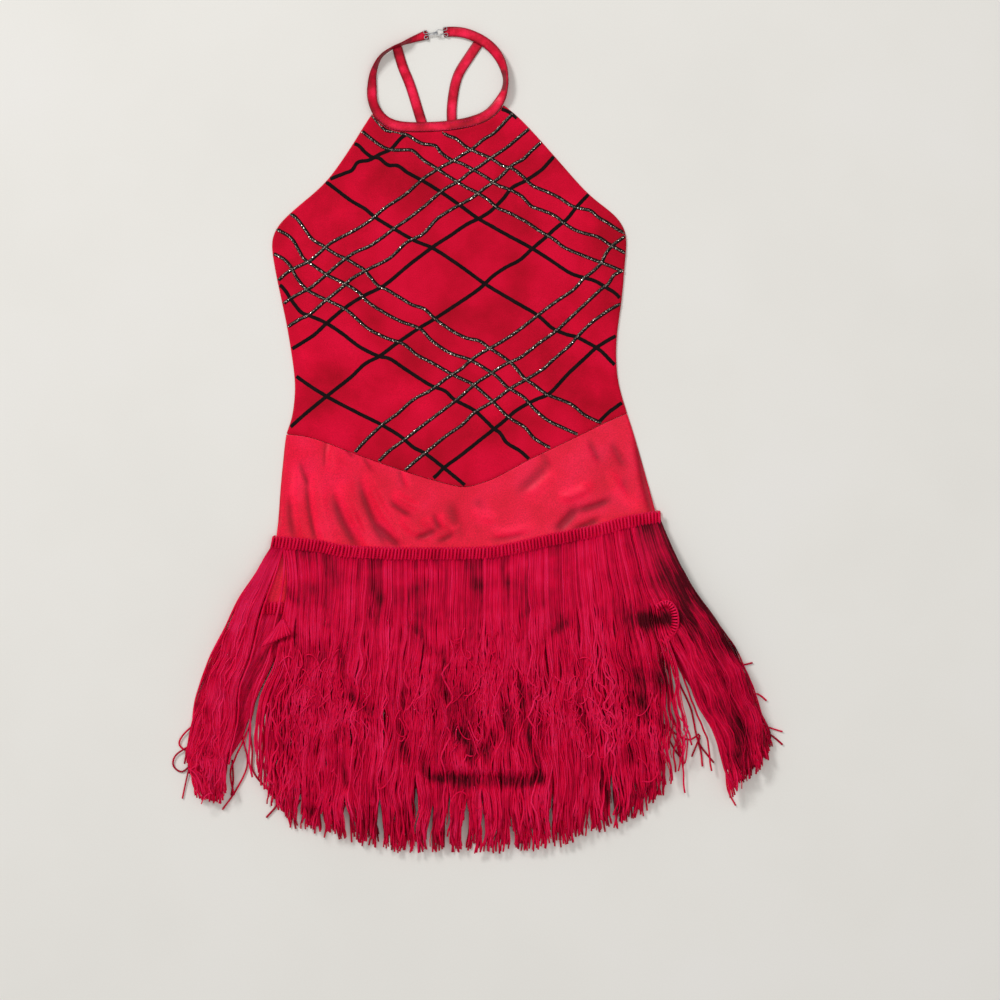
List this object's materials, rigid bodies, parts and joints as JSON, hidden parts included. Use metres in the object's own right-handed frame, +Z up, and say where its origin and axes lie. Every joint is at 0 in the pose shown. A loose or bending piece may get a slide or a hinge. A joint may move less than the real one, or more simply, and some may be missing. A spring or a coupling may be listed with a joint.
{
  "type": "child's halter dance leotard with fringe skirt, laid flat",
  "caption": "Halter-neck dance leotard with a pointed hip seam, a neck loop with hook and eye and a layered fringe skirt, laid flat with its front up.",
  "frame": {"origin": "on the surface that the garment lies on, under the middle of its whole outline", "axes": "+Z up out of the front of the garment, +Y towards the neck, +X to the right of a viewer who looks down on the front"},
  "size_m": [0.4878, 0.6612, 0.0117],
  "materials": {
    "velvet": "stretch velvet with a flocked and glittered diagonal lattice",
    "satin": "shiny satin spandex",
    "binding": "shiny satin spandex, folded",
    "fringe": "soft rayon chainette",
    "steel": "nickel plated wire"
  },
  "bodies": {
    "root": {"front_bodice": "velvet", "back_bodice": "velvet", "front_hip": "satin", "back_hip": "satin", "neck_binding": "binding", "back_strap_left": "binding", "back_strap_right": "binding", "neck_hook": "steel", "neck_eye": "steel", "fringe_front_upper": "fringe", "fringe_front_lower": "fringe", "fringe_back_upper": "fringe", "fringe_back_lower": "fringe"}
  },
  "joints": []
}
